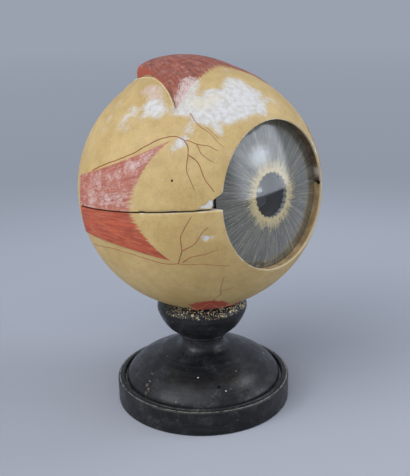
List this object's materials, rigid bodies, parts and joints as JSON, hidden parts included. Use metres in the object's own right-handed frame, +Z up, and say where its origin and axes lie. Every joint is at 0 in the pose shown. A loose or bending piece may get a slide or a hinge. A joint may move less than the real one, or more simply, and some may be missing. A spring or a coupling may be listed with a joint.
{
  "type": "eye anatomy model",
  "caption": "Enlarged eyeball on a turned stand that opens at the meridian to show lens, vitreous body, iris and linings.",
  "frame": {"origin": "centre of the foot's flat underside", "axes": "+Z up along the stand, -Y towards the side the eye looks to, +X towards the nose side"},
  "size_m": [0.124, 0.1302, 0.1801],
  "materials": {
    "ebonised_wood": "black stain under shellac, rubbed",
    "iron": "dull drawn iron",
    "brass": "aged, unpolished",
    "bare_wood": "bare beech",
    "sclera_paint": "ochre oil paint on gessoed papier-mache, worn",
    "muscle_paint": "brick-red oil paint on gessoed papier-mache, worn",
    "nerve_paint": "cream paint on papier-mache",
    "choroid_paint": "dark brown paint on papier-mache",
    "retina_paint": "pale orange-pink paint on papier-mache",
    "iris_paint": "painted card, grey with cream rays",
    "clear_glass": "polished clear glass"
  },
  "bodies": {
    "stand": {"stand_foot": "ebonised_wood", "stand_collar": "ebonised_wood", "pivot_pin": "iron"},
    "globe_lower": {"pivot_bush": "brass", "sclera_lower": "sclera_paint", "seam_dowels": "bare_wood", "optic_nerve": "nerve_paint", "lateral_rectus_lower": "muscle_paint", "medial_rectus_lower": "muscle_paint", "inferior_rectus": "muscle_paint", "inferior_oblique": "muscle_paint", "choroid_lower": "choroid_paint", "retina_lower": "retina_paint", "ciliary_body_lower": "choroid_paint", "catch_screw": "brass"},
    "globe_upper": {"sclera_upper": "sclera_paint", "lateral_rectus_upper": "muscle_paint", "medial_rectus_upper": "muscle_paint", "superior_rectus": "muscle_paint", "superior_oblique": "sclera_paint", "catch_pin": "brass"},
    "choroid_cap": {"choroid_upper": "choroid_paint", "retina_upper": "retina_paint", "ciliary_body_upper": "choroid_paint"},
    "cornea_glass": {"cornea": "clear_glass"},
    "iris_plate": {"iris_disc": "iris_paint"},
    "vitreous_and_lens": {"vitreous_body": "clear_glass", "lens": "clear_glass"},
    "hook": {"catch_hook": "brass"}
  },
  "joints": [
    {"name": "globe_swivel", "type": "hinge", "parent": "stand", "child": "globe_lower", "pos_m": [0, 0, 0.057], "axis": [0, 0, 1], "continuous": true},
    {"name": "upper_half_lift", "type": "slide", "parent": "globe_lower", "child": "globe_upper", "axis": [0, 0.0802, 0.9968], "range_m": [0, 0.16]},
    {"name": "choroid_cap_lift", "type": "slide", "parent": "globe_lower", "child": "choroid_cap", "axis": [0, 0.0802, 0.9968], "range_m": [0, 0.1056]},
    {"name": "cornea_pull", "type": "slide", "parent": "iris_plate", "child": "cornea_glass", "axis": [0, -0.9968, 0.0802], "range_m": [0, 0.04]},
    {"name": "iris_lift", "type": "slide", "parent": "globe_lower", "child": "iris_plate", "axis": [0, 0.0802, 0.9968], "range_m": [0, 0.04]},
    {"name": "vitreous_lift", "type": "slide", "parent": "globe_lower", "child": "vitreous_and_lens", "axis": [0, 0.0802, 0.9968], "range_m": [0, 0.056]},
    {"name": "hook_swing", "type": "hinge", "parent": "globe_lower", "child": "hook", "pos_m": [0.05637, -0.0231, 0.11184], "axis": [-0.9241, 0.3787, 0.0518], "range_deg": [0, 180]}
  ],
  "couplings": [
    {"joint": "choroid_cap_lift", "follows": "upper_half_lift", "ratio": 0.66},
    {"joint": "iris_lift", "follows": "upper_half_lift", "ratio": 0.25},
    {"joint": "vitreous_lift", "follows": "upper_half_lift", "ratio": 0.35}
  ]
}
